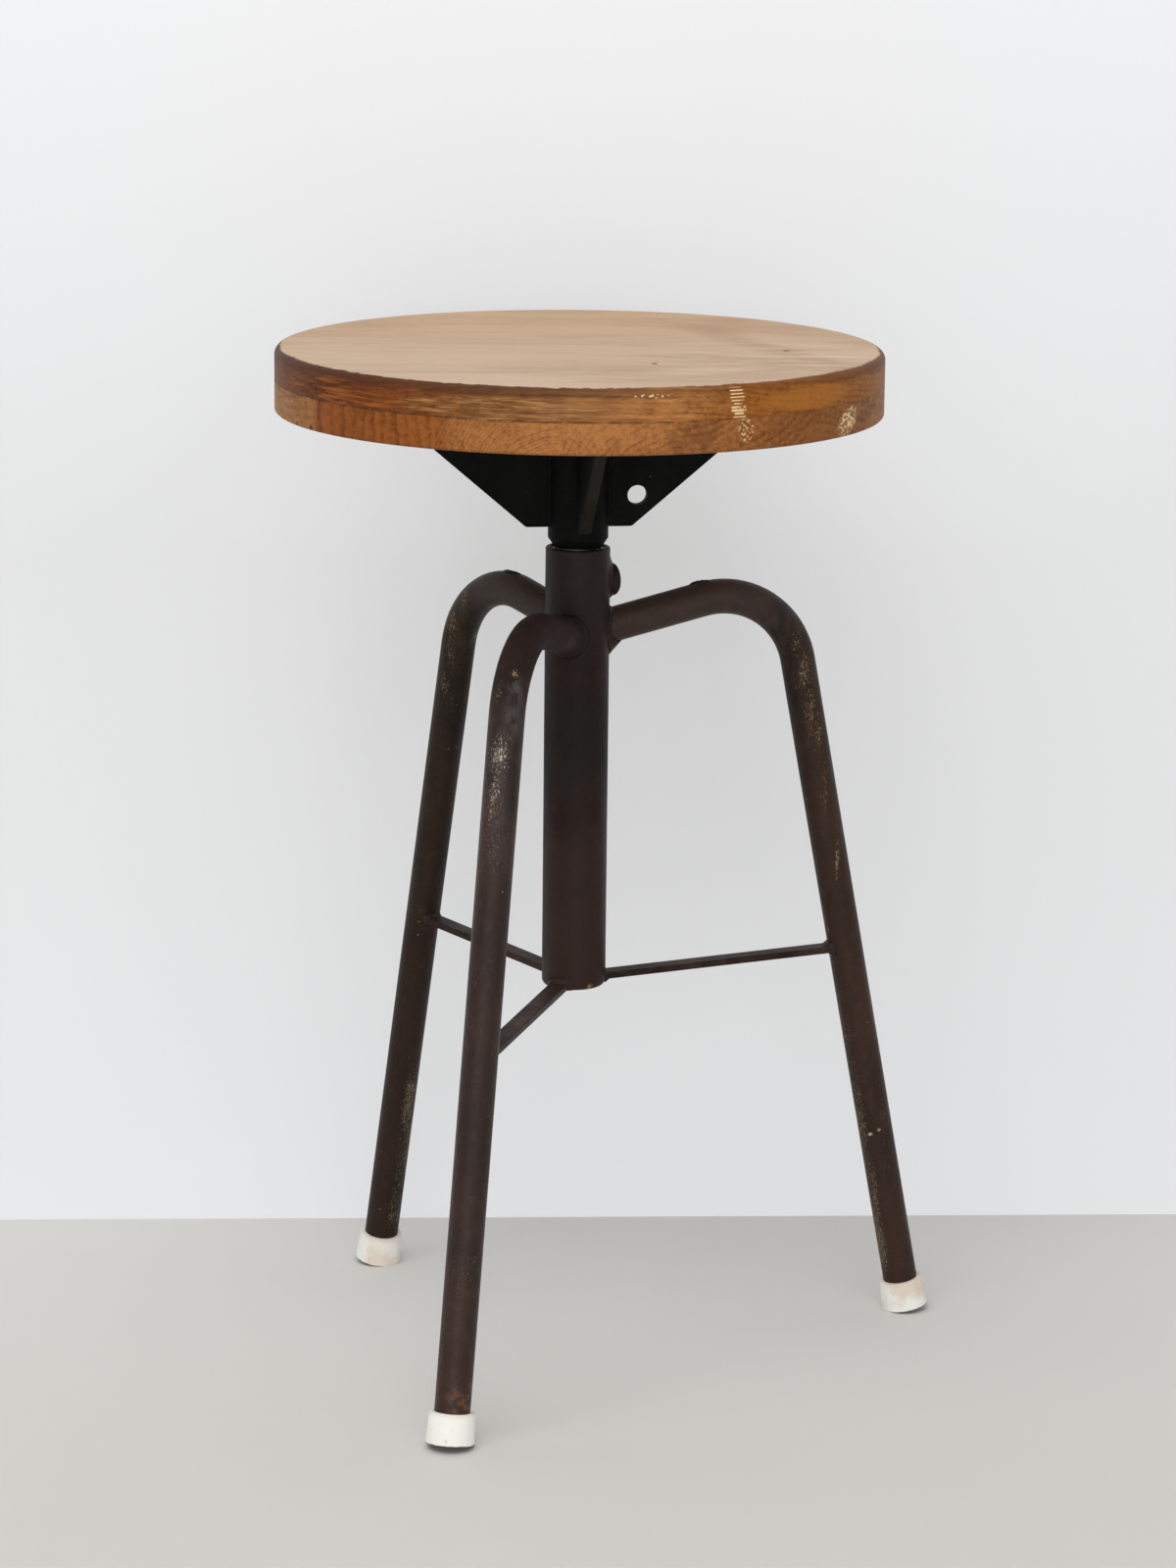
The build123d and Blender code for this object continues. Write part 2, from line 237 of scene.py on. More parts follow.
class SeatSurface(Surface):
    """A surface of the seat, with the azimuth, a ragged noise and where the rim is to hand."""

    def __init__(self, name):
        super().__init__(name)
        self.angle = self.math("ARCTAN2", self.y, self.x)
        radial = self.math("SQRT", square_sum(self, self.x, self.y))
        self.ragged = self.noise(130.0, 4.0, None, 0.65)
        worn_edge = self.plus(radial, self.steps_straight(self.ragged, 0.3, 0.7, -0.001, 0.001))
        self.rim = self.steps(worn_edge, SEAT_RADIUS - 0.0042, SEAT_RADIUS - 0.003)

    def round_ramp(self, stops):
        """A ramp that goes with the azimuth: its stops are given in degrees."""
        share = self.steps_straight(self.angle, -pi, pi)
        return self.ramp(share, [((azimuth + 180) / 360, colour) for azimuth, colour in stops])

    def beside(self, azimuth, height, slant=0.0):
        """Distance along the rim from a line at this azimuth that passes this height with a slant."""
        away = self.times(self.minus(self.angle, radians(azimuth)), SEAT_RADIUS)
        rise = self.minus(self.z, height)
        return self.minus(away, self.times(rise, slant))

    def patch(self, azimuth, height, half_width, half_height, slant=0.0):
        """A soft-edged oval on the rim, 1 at its middle."""
        side = self.math("DIVIDE", self.beside(azimuth, height, slant), half_width)
        rise = self.math("DIVIDE", self.minus(self.z, height), half_height)
        return both(self, self.rim, self.steps(square_sum(self, side, rise), 0.5, 1.15, 1.0, 0.0))

    def mark(self, name):
        return self.patch(*RIM_MARKS[name])

    def spot(self, place, half_width, half_depth):
        """A soft-edged oval on the flat top, 1 at its middle."""
        side = self.math("DIVIDE", self.minus(self.x, place[0]), half_width)
        away = self.math("DIVIDE", self.minus(self.y, place[1]), half_depth)
        flat = self.minus(1.0, self.rim)
        return both(self, flat, self.steps(square_sum(self, side, away), 0.2, 1.0, 1.0, 0.0))


def growth_rings(s, across, board):
    """How dark the late wood of the growth rings is, from 0 to 1, round an axis along the grain."""
    (ring_across, ring_height), spacing, _ = board
    side = s.minus(across, ring_across)
    rise = s.minus(s.z, ring_height)
    reach = s.math("SQRT", square_sum(s, side, rise))
    reach = s.plus(reach, s.times(s.warp, 2.4 * spacing))
    reach = s.plus(reach, s.times(s.noise(70.0, 2.0), 0.4 * spacing))
    count = s.math("DIVIDE", reach, spacing)
    ring = s.ramp(s.math("FRACT", count), RING_PROFILE)
    return both(s, ring, s.steps_straight(s.dice(count), 0.0, 1.0, 0.35, 1.0))


def wood_material(name, board, number, upper):
    """Solid timber: growth rings, fibres and pores, with the worn finish of the seat."""
    s = SeatSurface(name)

    def grain(along, across):
        return (along, across, across) if upper else (across, along, across)

    seed = number + (10 if upper else 0)
    shift = (seed * 3.7, seed * 1.9, seed * 5.3)
    s.warp = s.noise(1.0, 2.0, s.stretched(grain(5.0, 34.0), shift))
    fibre = s.noise(1.0, 3.0, s.stretched(grain(45.0, 900.0), shift), 0.6)
    streak = s.noise(1.0, 3.0, s.stretched(grain(11.0, 330.0), shift), 0.6)
    cloud = s.noise(17.0, 4.0, s.stretched((1.0, 1.0, 1.6), shift), 0.6)
    late = growth_rings(s, s.y if upper else s.x, board)
    _, _, darkness = board
    tone = s.plus(0.3, s.times(s.minus(late, 0.25), darkness))
    for texture, amount in ((fibre, 0.2), (streak, 0.24), (cloud, 0.2)):
        tone = s.plus(tone, s.steps_straight(texture, 0.32, 0.68, -amount, amount))
    colour, marks = (upper_finish if upper else lower_finish)(s, tone, number)
    seam = s.steps(s.math("ABSOLUTE", s.minus(s.z, GLUE_LINE)), 0.0002, 0.0009, 1.0, 0.0)
    seam = both(s, seam, s.rim, s.steps(s.ragged, 0.4, 0.56, 0.1, 0.7))
    seam = both(s, seam, s.steps(s.angle, radians(-64), radians(-56), 1.0, 0.4))
    colour = s.mix(seam, colour, SEAM)
    rough = s.steps_straight(fibre, 0.3, 0.8, 0.42, 0.56)
    height = s.minus(s.times(fibre, 0.5), s.times(late, 0.15))
    height = s.minus(height, s.times(marks, 0.6))
    return s.finish(colour, rough, height, 0.3, 0.0005, 0.08)


def upper_finish(s, tone, number):
    """Colour of an upper board: pale top, worn and partly painted sheen, darkened edge and honey-brown rim,
    and its chips.
    """
    # The top's pale tone from front to back is worn finish and partly painted sheen of the light falling on
    # the top
    depth = s.steps_straight(s.y, -0.17, 0.17)
    pale_top_and_sheen = s.mix(depth, TOP_FRONT, TOP_BACK)
    drift = s.noise(1.0, 3.0, s.stretched((4.0, 13.0, 4.0), (0.3, 0.8, 0.0)), 0.6, 0.9)
    top_tone = s.plus(s.times(tone, 0.38), s.steps_straight(drift, 0.34, 0.66, -0.3, 0.58))
    top = s.mix(s.steps_straight(top_tone, 0.0, 1.0), pale_top_and_sheen, TOP_DRIFT)
    crossing = s.plus(s.times(s.x, 0.913), s.times(s.y, 0.409))
    crossing = s.minus(crossing, s.steps_straight(drift, 0.3, 0.7, 0.094, 0.119))
    shade = s.steps(s.math("ABSOLUTE", crossing), 0.003, 0.021, 0.42, 0.0)
    shade = both(s, shade, s.steps(s.y, 0.08, 0.14, 1.0, 0.0))
    top = s.mix(shade, top, TOP_SHADE)
    scuffs = s.noise(1.0, 4.0, s.stretched((13.0, 75.0, 13.0), (0.4, 0.1, 0.0)), 0.65)
    worn = both(s, s.spot(*SCUFFED_PLACE), s.steps(scuffs, 0.47, 0.7))
    top = s.stain(top, worn, 0.45, TOP_SCUFF)
    side = s.darkened(s.round_ramp(UPPER_RIM_TONES), tone, (0.34, 0.25, 0.22))
    flame = s.noise(1.0, 3.0, s.stretched((9.0, 40.0, 700.0)), 0.6)
    flame = both(s, s.steps(flame, 0.48, 0.6), s.mark("flame"))
    side = s.stain(side, flame, 0.7, FLAME)
    side = s.stain(side, s.mark("honey"), 0.5, HONEY)
    fringe = s.noise(1.0, 4.0, s.stretched((60.0, 60.0, 300.0)), 0.65)
    edge_height = s.plus(s.z, s.steps_straight(fringe, 0.3, 0.7, -0.0028, 0.0028))
    band = s.steps(edge_height, SEAT_TOP - 0.0076, SEAT_TOP - 0.003)
    band = both(s, band, s.round_ramp(EDGE_BAND))
    side = s.mix(band, side, DARK_EDGE)
    colour = s.mix(s.rim, top, side)
    fleck = either(s, *(s.spot(*place) for place in FLECK_PLACES))
    colour = s.mix(both(s, fleck, s.steps(s.ragged, 0.36, 0.5)), colour, TOP_FLECK)
    marks = s.times(fleck, 0.4)
    if number == 1:
        dashes = s.noise(1.0, 3.0, s.stretched((60.0, 60.0, 1900.0)), 0.6)
        pores = both(s, s.steps(dashes, 0.53, 0.58), s.mark("pores"))
        colour = s.stain(colour, pores, 0.4, PORES)
        colour = s.stain(colour, s.mark("knot"), 0.35, KNOT)
        line = both(s, s.steps(s.cells(560.0), 0.34, 0.44, 1.0, 0.0), s.mark("line"))
        marks = either(s, line, scraped_rows(s))
        colour = s.stain(colour, marks, 0.9, PALE_CHIP)
    return colour, marks


def scraped_rows(s):
    """Short pale scrapes one under the other on the upper layer's rim."""
    count = s.math("DIVIDE", s.minus(s.z, GLUE_LINE), SCRAPE_SPACING)
    thick = s.steps(s.math("ABSOLUTE", s.minus(s.z, THICKEST_SCRAPE)), 0.0012, 0.0035, 0.34, 0.16)
    gap = s.math("ABSOLUTE", s.minus(s.math("FRACT", count), 0.5))
    row = s.steps(s.minus(gap, thick), -0.05, 0.1, 1.0, 0.0)
    half_width = s.steps_straight(s.dice(count), 0.0, 1.0, 0.003, 0.0058)
    away = s.math("ABSOLUTE", s.beside(-60.5, 0.61, -0.15))
    inside = s.steps(s.math("DIVIDE", away, half_width), 0.75, 1.0, 1.0, 0.0)
    under_edge = s.steps(s.z, SEAT_TOP - 0.0022, SEAT_TOP - 0.0012, 1.0, 0.0)
    return both(s, row, inside, s.rim, s.steps(s.ragged, 0.34, 0.42), under_edge)


def lower_finish(s, tone, number):
    """Colour of a lower board, with its smudges, nicks and chips."""
    colour = s.darkened(s.round_ramp(LOWER_RIM_TONES), tone, (0.34, 0.25, 0.2))
    scratch = s.noise(1.0, 3.0, s.stretched((420.0, 420.0, 40.0)), 0.6)
    scratch = both(s, s.rim, s.steps(scratch, 0.6, 0.68))
    colour = s.stain(colour, scratch, 0.22, SCRATCH)
    marks = s.times(scratch, 0.1)
    dots = s.cells(760.0, s.stretched((1.0, 1.0, 0.75)))
    if number == 1:
        nicks = either(s, s.mark("left_nick"), s.mark("right_nick"))
        colour = s.stain(colour, nicks, 0.9, NICK)
    if number in (4, 5):
        smudge = both(s, s.mark("smudge"), s.steps(s.ragged, 0.3, 0.6))
        colour = s.stain(colour, smudge, 0.4, SMUDGE)
    if number == 5:
        drips = both(s, s.steps(dots, 0.28, 0.4, 1.0, 0.0), s.mark("drips"))
        marks = either(s, marks, drips)
        colour = s.stain(colour, drips, 0.75, PALE_CHIP)
    if number == 6:
        rub = s.mark("rub")
        colour = s.stain(colour, rub, 0.45, RUBBED)
        hatch = s.noise(1.0, 3.0, s.stretched((420.0, 420.0, 560.0)), 0.6)
        rub = both(s, rub, s.steps(hatch, 0.48, 0.57))
        marks = either(s, marks, rub)
        colour = s.stain(colour, rub, 0.9, PALE_CHIP)
        dirt = both(s, s.mark("dirt"), s.steps(s.ragged, 0.4, 0.55))
        colour = s.stain(colour, dirt, 0.4, DIRT)
    return colour, marks


def upright_patch(s, centre, half_width, half_height):
    """A soft-edged upright oval round a point of a tube, 1 at its middle."""
    sizes = (1 / half_width, 1 / half_width, 1 / half_height)
    shares = s.vector("MULTIPLY", s.vector("SUBTRACT", s.place, centre), sizes)
    return s.steps_straight(s.vector("LENGTH", shares), 0.15, 1.25, 1.0, 0.0)


def side_band(s, side, low, high):
    """1 along one side of a leg between two heights, with soft edges."""
    normal = s.add("NewGeometry").outputs["Normal"]
    facing = s.vector("DOT_PRODUCT", normal, (*side, 0.0))
    between = both(s, s.steps(s.z, low - 0.01, low + 0.01), s.steps(s.z, high - 0.04, high + 0.02, 1.0, 0.0))
    return both(s, between, s.steps(facing, 0.66, 0.97))


def flecked(s, colour, leg):
    """A leg's paint with its smears, some of them painted sheen, and its flecks of bare metal and old paint,
    and how flaked it is.
    """
    mottle = s.noise(150.0, 3.0, s.stretched((1.0, 1.0, 0.6)), 0.6)
    # Lays on the smears; the blue-grey ones are painted sheen
    for tone, centre, half_width, half_height, strength in LEG_SMEARS_AND_SHEEN[leg]:
        smear_and_sheen = both(s, upright_patch(s, centre, half_width, half_height), s.steps(mottle, 0.38, 0.56))
        colour = s.stain(colour, smear_and_sheen, strength, tone)
    flake = s.noise(1.0, 5.0, s.stretched((1400.0, 1400.0, 520.0)), 0.72)
    blotch = s.noise(34.0, 3.0, s.stretched((1.0, 1.0, 0.5)), 0.6)
    density = {OLIVE: s.steps(blotch, 0.48, 0.7, 0.0, 0.6)}
    for side, low, high in FLECKED_SIDES[leg]:
        band = both(s, side_band(s, side, low, high), s.steps(blotch, 0.36, 0.6, 0.7, 1.1))
        density[OLIVE] = either(s, density[OLIVE], band)
    for tone, centre, half_width, half_height, strength in LEG_FLECKS[leg]:
        patch = s.times(upright_patch(s, centre, half_width, half_height), strength)
        density[tone] = either(s, density[tone], patch) if tone in density else patch
    flaked = None
    for tone, cover in density.items():
        speck = s.steps(s.plus(flake, s.times(cover, 0.22)), 0.7, 0.8)
        colour = s.stain(colour, speck, 0.9, tone)
        flaked = either(s, flaked, speck) if flaked else speck
    return colour, flaked


def paint_material(name, base, second, rough=0.46, specular=0.16, leg=None, spots=(), bands=(), plate=None,
                   droplets=True):
    """Old pitted paint in two uneven tones, with bands and a leg's wear, both partly painted sheen, a plate's
    edge, spots and droplets.
    """
    s = Surface(name)
    cloud = s.noise(26.0, 4.0, s.stretched((1.0, 1.0, 0.45)), 0.62)
    height = s.noise(430.0, 3.0, None, 0.6)
    mottle = s.noise(170.0, 3.0, None, 0.6)
    colour = s.mix(s.steps(cloud, 0.36, 0.64), base, second)
    colour = s.mix(s.steps(mottle, 0.5, 0.75, 0.0, 0.4), colour, tuple(1.7 * value for value in base))
    roughness = s.steps_straight(cloud, 0.3, 0.7, rough - 0.06, rough + 0.08)
    ragged = s.plus(s.z, s.steps_straight(cloud, 0.3, 0.7, -0.012, 0.012))
    # Bands of tone; on the right and left legs' upper runs they are partly painted sheen
    for low, high, tone, strength, dulling in bands:
        above = s.steps(ragged, low - BAND_FADE, low + BAND_FADE)
        inside = both(s, above, s.steps(ragged, high - BAND_FADE, high + BAND_FADE, 1.0, 0.0))
        colour = s.stain(colour, inside, strength, tone)
        roughness = s.plus(roughness, s.times(inside, dulling))
    if leg:
        colour, flaked = flecked(s, colour, leg)
        height = s.minus(height, s.times(flaked, 0.7))
    if plate is not None:
        normal = s.add("NewGeometry").outputs["True Normal"]
        across = (-sin(plate), cos(plate), 0.0)
        facing = s.vector("DOT_PRODUCT", normal, across)
        edge = s.steps(s.math("ABSOLUTE", facing), 0.4, 0.6, 1.0, 0.0)
        colour = s.mix(both(s, edge, s.steps(cloud, 0.3, 0.6, 0.45, 1.0)), colour, PLATE_EDGE)
    for centre, radius, tone in spots:
        place = both(s, blob(s, centre, radius), s.steps(mottle, 0.42, 0.6))
        colour = s.stain(colour, place, 0.75, tone)
    if droplets:
        sparse = s.steps(s.noise(40.0, 1.0, s.stretched((1.0, 1.0, 1.0), (0.7, 0.2, 0.9))), 0.6, 0.64)
        droplet = both(s, s.steps(s.cells(150.0), 0.045, 0.075, 1.0, 0.0), sparse)
        colour = s.stain(colour, droplet, 0.6, DROPLET)
    return s.finish(colour, roughness, height, 0.75 if leg else 0.5, 0.0008, specular)


def rubber_material(name, leg, stain_amount):
    """Off-white rubber cap, stained, with a near-black sole square to its leg: painted shadow under the cap.
    """
    s = Surface(name)
    azimuth, _, reach, _, _ = LEGS[leg]
    foot = stood((reach, 0.0, 0.0), leg)
    inward = -sin(LEG_SPLAY)
    lean = (inward * cos(azimuth), inward * sin(azimuth), cos(LEG_SPLAY))
    along = s.vector("DOT_PRODUCT", s.vector("SUBTRACT", s.place, tuple(foot)), lean)
    stain = s.noise(48.0, 4.0, s.stretched((1.0, 1.0, 1.0), (reach * 9, 0.0, 0.0)), 0.6)
    dirt = s.noise(260.0, 4.0, None, 0.6)
    stained = s.steps(stain, 0.42, 0.64, 0.0, stain_amount)
    colour = s.mix(stained, RUBBER["clean"], RUBBER["stain"])
    colour = s.mix(s.steps(dirt, 0.64, 0.72, 0.0, 0.5), colour, RUBBER["dirt"])
    lip = s.steps(along, CAP_TOP - 0.0022, CAP_TOP - 0.0006, 0.0, 0.35)
    colour = s.mix(lip, colour, RUBBER["lip"])
    # Near-black band at the cap's foot: painted shadow under the cap
    sole_shadow = s.plus(along, s.steps_straight(dirt, 0.3, 0.7, -0.0003, 0.0003))
    sole_shadow = s.steps(sole_shadow, CAP_BOTTOM + 0.0004, CAP_BOTTOM + 0.0011, 0.93, 0.0)
    colour = s.mix(sole_shadow, colour, RUBBER["sole_shadow"])
    return s.finish(colour, s.steps_straight(dirt, 0.3, 0.8, 0.5, 0.75), dirt, 0.3, 0.0006, 0.3)


def metal_material(name, tone, rough):
    """Bare oiled metal."""
    s = Surface(name)
    cloud = s.noise(70.0, 3.0)
    brush = s.noise(1.0, 3.0, s.stretched((300.0, 300.0, 2500.0)))
    dark = tuple(0.55 * value for value in tone)
    colour = s.mix(s.steps(cloud, 0.3, 0.7), tone, dark)
    roughness = s.steps(brush, 0.3, 0.7, rough - 0.08, rough + 0.1)
    return s.finish(colour, roughness, brush, 0.15, 0.0003, 0.5, 1.0)


def plain_plastic(name, tone):
    """Natural plastic with a turned finish."""
    s = Surface(name)
    turned = s.noise(1.0, 2.0, s.stretched((60.0, 60.0, 4000.0)))
    colour = s.mix(s.steps(turned, 0.3, 0.7, 0.0, 0.3), tone, tuple(0.8 * value for value in tone))
    return s.finish(colour, s.steps(turned, 0.3, 0.7, 0.4, 0.55), turned, 0.2, 0.0003, 0.5)


def put(material, *names):
    for name in names:
        slots = nodes[name].data.materials
        slots.clear()
        slots.append(material)


def swept(rings, closed):
    """Vertices and faces of a skin over a row of rings, which either closes on itself or is capped."""
    count = len(rings[0])
    vertices = [point for ring in rings for point in ring]
    faces = []
    for i in range(len(rings) if closed else len(rings) - 1):
        j = (i + 1) % len(rings)
        for k in range(count):
            n = (k + 1) % count
            faces.append((i * count + k, i * count + n, j * count + n, j * count + k))
    if not closed:
        faces.append(tuple(reversed(range(count))))
        last = (len(rings) - 1) * count
        faces.append(tuple(range(last, last + count)))
    return vertices, faces


def linked(name, data):
    """A new object in the scene."""
    obj = bpy.data.objects.new(name, data)
    bpy.context.scene.collection.objects.link(obj)
    return obj


def make_piece(name, vertices, faces, material, body, slot):
    mesh = bpy.data.meshes.new(name)
    mesh.from_pydata(vertices, [], faces)
    mesh.materials.append(material)
    for face in mesh.polygons:
        face.use_smooth = True
    mesh.validate()
    obj = linked(name, mesh)
    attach(obj, body)
    return obj


def turns(count):
    """Angles evenly round a full turn."""
    return [2 * pi * i / count for i in range(count)]


def bead(path, radii, closed, seed):
    """A weld bead: a rippled, uneven tube along the path."""
    rings = []
    count = len(path)
    normal = None
    for i, point in enumerate(path):
        before = path[(i - 1) % count] if closed or i else path[0]
        after = path[(i + 1) % count] if closed or i < count - 1 else path[-1]
        along = (after - before).normalized()
        if normal is None:
            normal = along.orthogonal().normalized()
        normal = (normal - along * normal.dot(along)).normalized()
        other = along.cross(normal)
        ring = []
        for angle in turns(10):
            way = normal * cos(angle) + other * sin(angle)
            lump = noise.noise(point * 420 + way * 0.9 + Vector((seed, 0, 0)))
            ripple = sin(i * 1.9 + 0.8 * lump)
            ring.append(point + way * radii[i] * (1 + 0.14 * lump + 0.07 * ripple))
        rings.append(ring)
    return swept(rings, closed)


def joined(parts):
    """Several vertex and face lists as one."""
    vertices, faces = [], []
    for some_vertices, some_faces in parts:
        base = len(vertices)
        vertices.extend(some_vertices)
        faces.extend(tuple(base + i for i in face) for face in some_faces)
    return vertices, faces


def stood(point, leg):
    """A point drawn with its leg upright along +X, leaned and swung as that leg stands."""
    azimuth, lean, _, root, _ = LEGS[leg]
    pivot = Vector((0, 0, root))
    lifted = Matrix.Rotation(lean, 3, "X") @ (Vector(point) - pivot) + pivot
    return Matrix.Rotation(azimuth, 3, "Z") @ lifted


def fillet_weld(stations, seed):
    """A rippled weld fillet: each station is its root, the points its two toes reach and which way is out."""
    bite = 0.0004
    rings = []
    for i, (root, toe_a, toe_b, out) in enumerate(stations):
        lump = noise.noise(root * 300 + Vector((seed, 0, 0)))
        swell = 1 + 0.16 * lump + 0.05 * sin(1.7 * i)
        ring = [root - out * bite]
        for share in (0.0, 0.25, 0.5, 0.75, 1.0):
            point = toe_a.lerp(toe_b, share)
            bulge = 4 * share * (1 - share)
            ring.append(root + (point - root) * (1 - 0.06 * bulge) * swell + out * bite * lump * bulge)
        rings.append(ring)
    return swept(rings, True)


def outward(point):
    """The level direction from the column's axis to a point."""
    return Vector((point.x, point.y, 0.0)).normalized()


def on_column(point):
    """The nearest point of the column's wall, just under its surface."""
    flat = outward(point) * (COLUMN_RADIUS - TOE_DEPTH)
    return Vector((flat.x, flat.y, point.z))


def on_lower_run(point, leg):
    """The nearest point of a leg's lower run, just under its surface, drawn with the leg along +X."""
    foot = Vector((LEGS[leg][2], 0.0, 0.0))
    nearest = foot + LOWER_RUN_WAY * (point - foot).dot(LOWER_RUN_WAY)
    return nearest + (point - nearest).normalized() * (LEG_RADIUS - TOE_DEPTH)


def tangent_to(normal, way):
    """A direction along a surface with this normal."""
    return (way - normal * way.dot(normal)).normalized()


def leg_root_weld(leg, seed):
    """Fillet round the root of a leg on the column, heavier underneath."""
    stations = []
    for angle in turns(96):
        side = LEG_RADIUS * cos(angle)
        up = sin(angle)
        out = sqrt(COLUMN_RADIUS ** 2 - side ** 2) + LEG_RADIUS * up * sin(LEG_RISE)
        spoke = Vector((-up * sin(LEG_RISE), cos(angle), up * cos(LEG_RISE)))
        root = Vector((0, 0, LEGS[leg][3])) + UPPER_RUN_WAY * (out / cos(LEG_RISE)) + spoke * LEG_RADIUS
        normal = outward(root)
        under = max(0.0, -up) ** 2
        size = ROOT_WELD + ROOT_WELD_UNDER[leg] * under
        toe_a = on_column(root + tangent_to(normal, spoke) * size)
        toe_b = root + UPPER_RUN_WAY * size * (1 + 0.3 * under) - spoke * TOE_DEPTH
        stations.append(stood_station(root, toe_a, toe_b, spoke + normal, leg))
    return fillet_weld(stations, seed)


def stood_station(root, toe_a, toe_b, out, leg):
    """A fillet's station drawn with the leg along +X, as that leg stands."""
    swung = (Matrix.Rotation(LEGS[leg][0], 3, "Z") @ out).normalized()
    return [stood(root, leg), stood(toe_a, leg), stood(toe_b, leg), swung]


def rounded_bar_outline():
    """Points round the brace's section, as (across, up)."""
    points = []
    for angle in turns(56):
        c, s = cos(angle), sin(angle)
        points.append((BRACE_WIDTH / 2 * copysign(abs(c) ** 0.45, c),
                       BRACE_THICKNESS / 2 * copysign(abs(s) ** 0.45, s)))
    return points


def brace_welds(leg, seed):
    """Fillets at a brace's two ends."""
    _, _, reach, _, rise = LEGS[leg]
    end_height = BRACE_ROOT_HEIGHT + rise
    end_reach = reach - end_height * tan(LEG_SPLAY)
    along = Vector((end_reach, 0.0, rise)).normalized()
    slope = rise / end_reach
    inner, outer = [], []
    for across, lift in rounded_bar_outline():
        spoke = Vector((0.0, across / BRACE_WIDTH, lift / BRACE_THICKNESS)).normalized()
        x = sqrt(COLUMN_RADIUS ** 2 - across ** 2)
        root = Vector((x, across, BRACE_ROOT_HEIGHT + slope * x + lift))
        normal = outward(root)
        toe_a = on_column(root + tangent_to(normal, spoke) * BRACE_WELD)
        toe_a.z = max(toe_a.z, BRACE_WELD_FLOOR)
        toe_b = root + along * BRACE_WELD * 1.2 - spoke * TOE_DEPTH
        inner.append(stood_station(root, toe_a, toe_b, spoke + normal, leg))
        near_side = sqrt(LEG_RADIUS ** 2 - across ** 2) / cos(LEG_SPLAY)
        x = reach - (end_height + lift) * tan(LEG_SPLAY) - near_side
        root = Vector((x, across, BRACE_ROOT_HEIGHT + slope * x + lift))
        foot = Vector((reach, 0.0, 0.0))
        normal = (root - foot - LOWER_RUN_WAY * (root - foot).dot(LOWER_RUN_WAY)).normalized()
        toe_a = on_lower_run(root + tangent_to(normal, spoke) * BRACE_WELD, leg)
        toe_b = root - along * BRACE_WELD * 1.3 - spoke * TOE_DEPTH
        outer.append(stood_station(root, toe_a, toe_b, spoke + normal, leg))
    return joined([fillet_weld(inner, seed), fillet_weld(outer, seed + 1)])


def boss_weld(seed):
    """Fillet round the lock boss on the column, run on above it."""
    stations = []
    turn = Matrix.Rotation(LOCK_AZIMUTH, 3, "Z")
    for angle in turns(80):
        spoke = Vector((0.0, cos(angle), sin(angle)))
        side = LOCK_BOSS_RADIUS * spoke.y
        x = sqrt(COLUMN_RADIUS ** 2 - side ** 2)
        root = Vector((x, side, LOCK_HEIGHT + LOCK_BOSS_RADIUS * spoke.z))
        normal = outward(root)
        above = max(0.0, spoke.z) ** 2
        toe_a = on_column(root + tangent_to(normal, spoke) * (BOSS_WELD + BOSS_WELD_ABOVE * above))
        length = min(BOSS_WELD_LENGTH, BOSS_WELD_END - root.x)
        toe_b = root + Vector((length, 0.0, 0.0)) - spoke * TOE_DEPTH
        stations.append([turn @ p for p in (root, toe_a, toe_b)] + [turn @ (spoke + normal).normalized()])
    return fillet_weld(stations, seed)


def over_leg(leg, distance, height):
    """A point this far along a leg from the column's axis, round its bend too, and this high over its own."""
    _, _, reach, root, _ = LEGS[leg]
    along = UPPER_RUN_WAY
    over = Vector((-sin(LEG_RISE), 0.0, cos(LEG_RISE)))
    corner = (reach - root * tan(LEG_SPLAY)) / (along.x + along.z * tan(LEG_SPLAY))
    run = corner - LEG_BEND_RADIUS * tan((LEG_RISE + pi / 2 - LEG_SPLAY) / 2)
    bent = max(0.0, distance - run) / LEG_BEND_RADIUS
    turned_over = over * cos(bent) + along * sin(bent)
    centre = Vector((0, 0, root)) + along * min(distance, run) - over * LEG_BEND_RADIUS
    return centre + turned_over * (LEG_BEND_RADIUS + height)


def bend_spatter(leg, distance, length, seed):
    """A low lump of spatter along the top of a leg, starting this far out from the column's axis."""
    sink, sway, thin, swell = 0.0005, 0.0012, 0.0004, 0.0013
    path, radii = [], []
    count = 17
    for i in range(count):
        share = i / (count - 1)
        point = over_leg(leg, distance + length * share, LEG_RADIUS - sink)
        path.append(stood(point + Vector((0, sway * sin(5 * share + seed), 0)), leg))
        radii.append(thin + swell * sin(pi * share) ** 0.6)
    return bead(path, radii, False, seed)


def straight(start, end):
    """Points along a line, about 0.8 mm apart."""
    start, end = Vector(start), Vector(end)
    count = max(3, int((end - start).length / 0.0008))
    return [start.lerp(end, i / (count - 1)) for i in range(count)]


def bracket_welds():
    """Beads up both sides of every gusset on the hub and out along the flange."""
    parts = []
    for number in range(4):
        turn = Matrix.Rotation(GUSSET_AZIMUTH + pi / 2 * number, 3, "Z")
        for side in (-1, 1):
            y = side * GUSSET_HALF_THICKNESS
            x = sqrt(HUB_RADIUS ** 2 - y ** 2)
            corner = (x, y, FLANGE_BOTTOM)
            up = straight((x, y, GUSSET_BOTTOM + 0.001), corner)
            out = straight(corner, (FLANGE_WELD_END, y, FLANGE_BOTTOM))
            for path, size, step in ((up, GUSSET_WELD, 3), (out, FLANGE_WELD, 5)):
                parts.append(bead([turn @ p for p in path], [size] * len(path), False, number + step * side))
    return joined(parts)


def circle(radius, z, count):
    """Points evenly round the column's axis."""
    return [Vector((radius * cos(angle), radius * sin(angle), z)) for angle in turns(count)]


def hub_weld(seed):
    """Bead round the hub under the flange."""
    path = circle(HUB_RADIUS, FLANGE_BOTTOM, 140)
    return bead(path, [HUB_WELD] * len(path), True, seed)


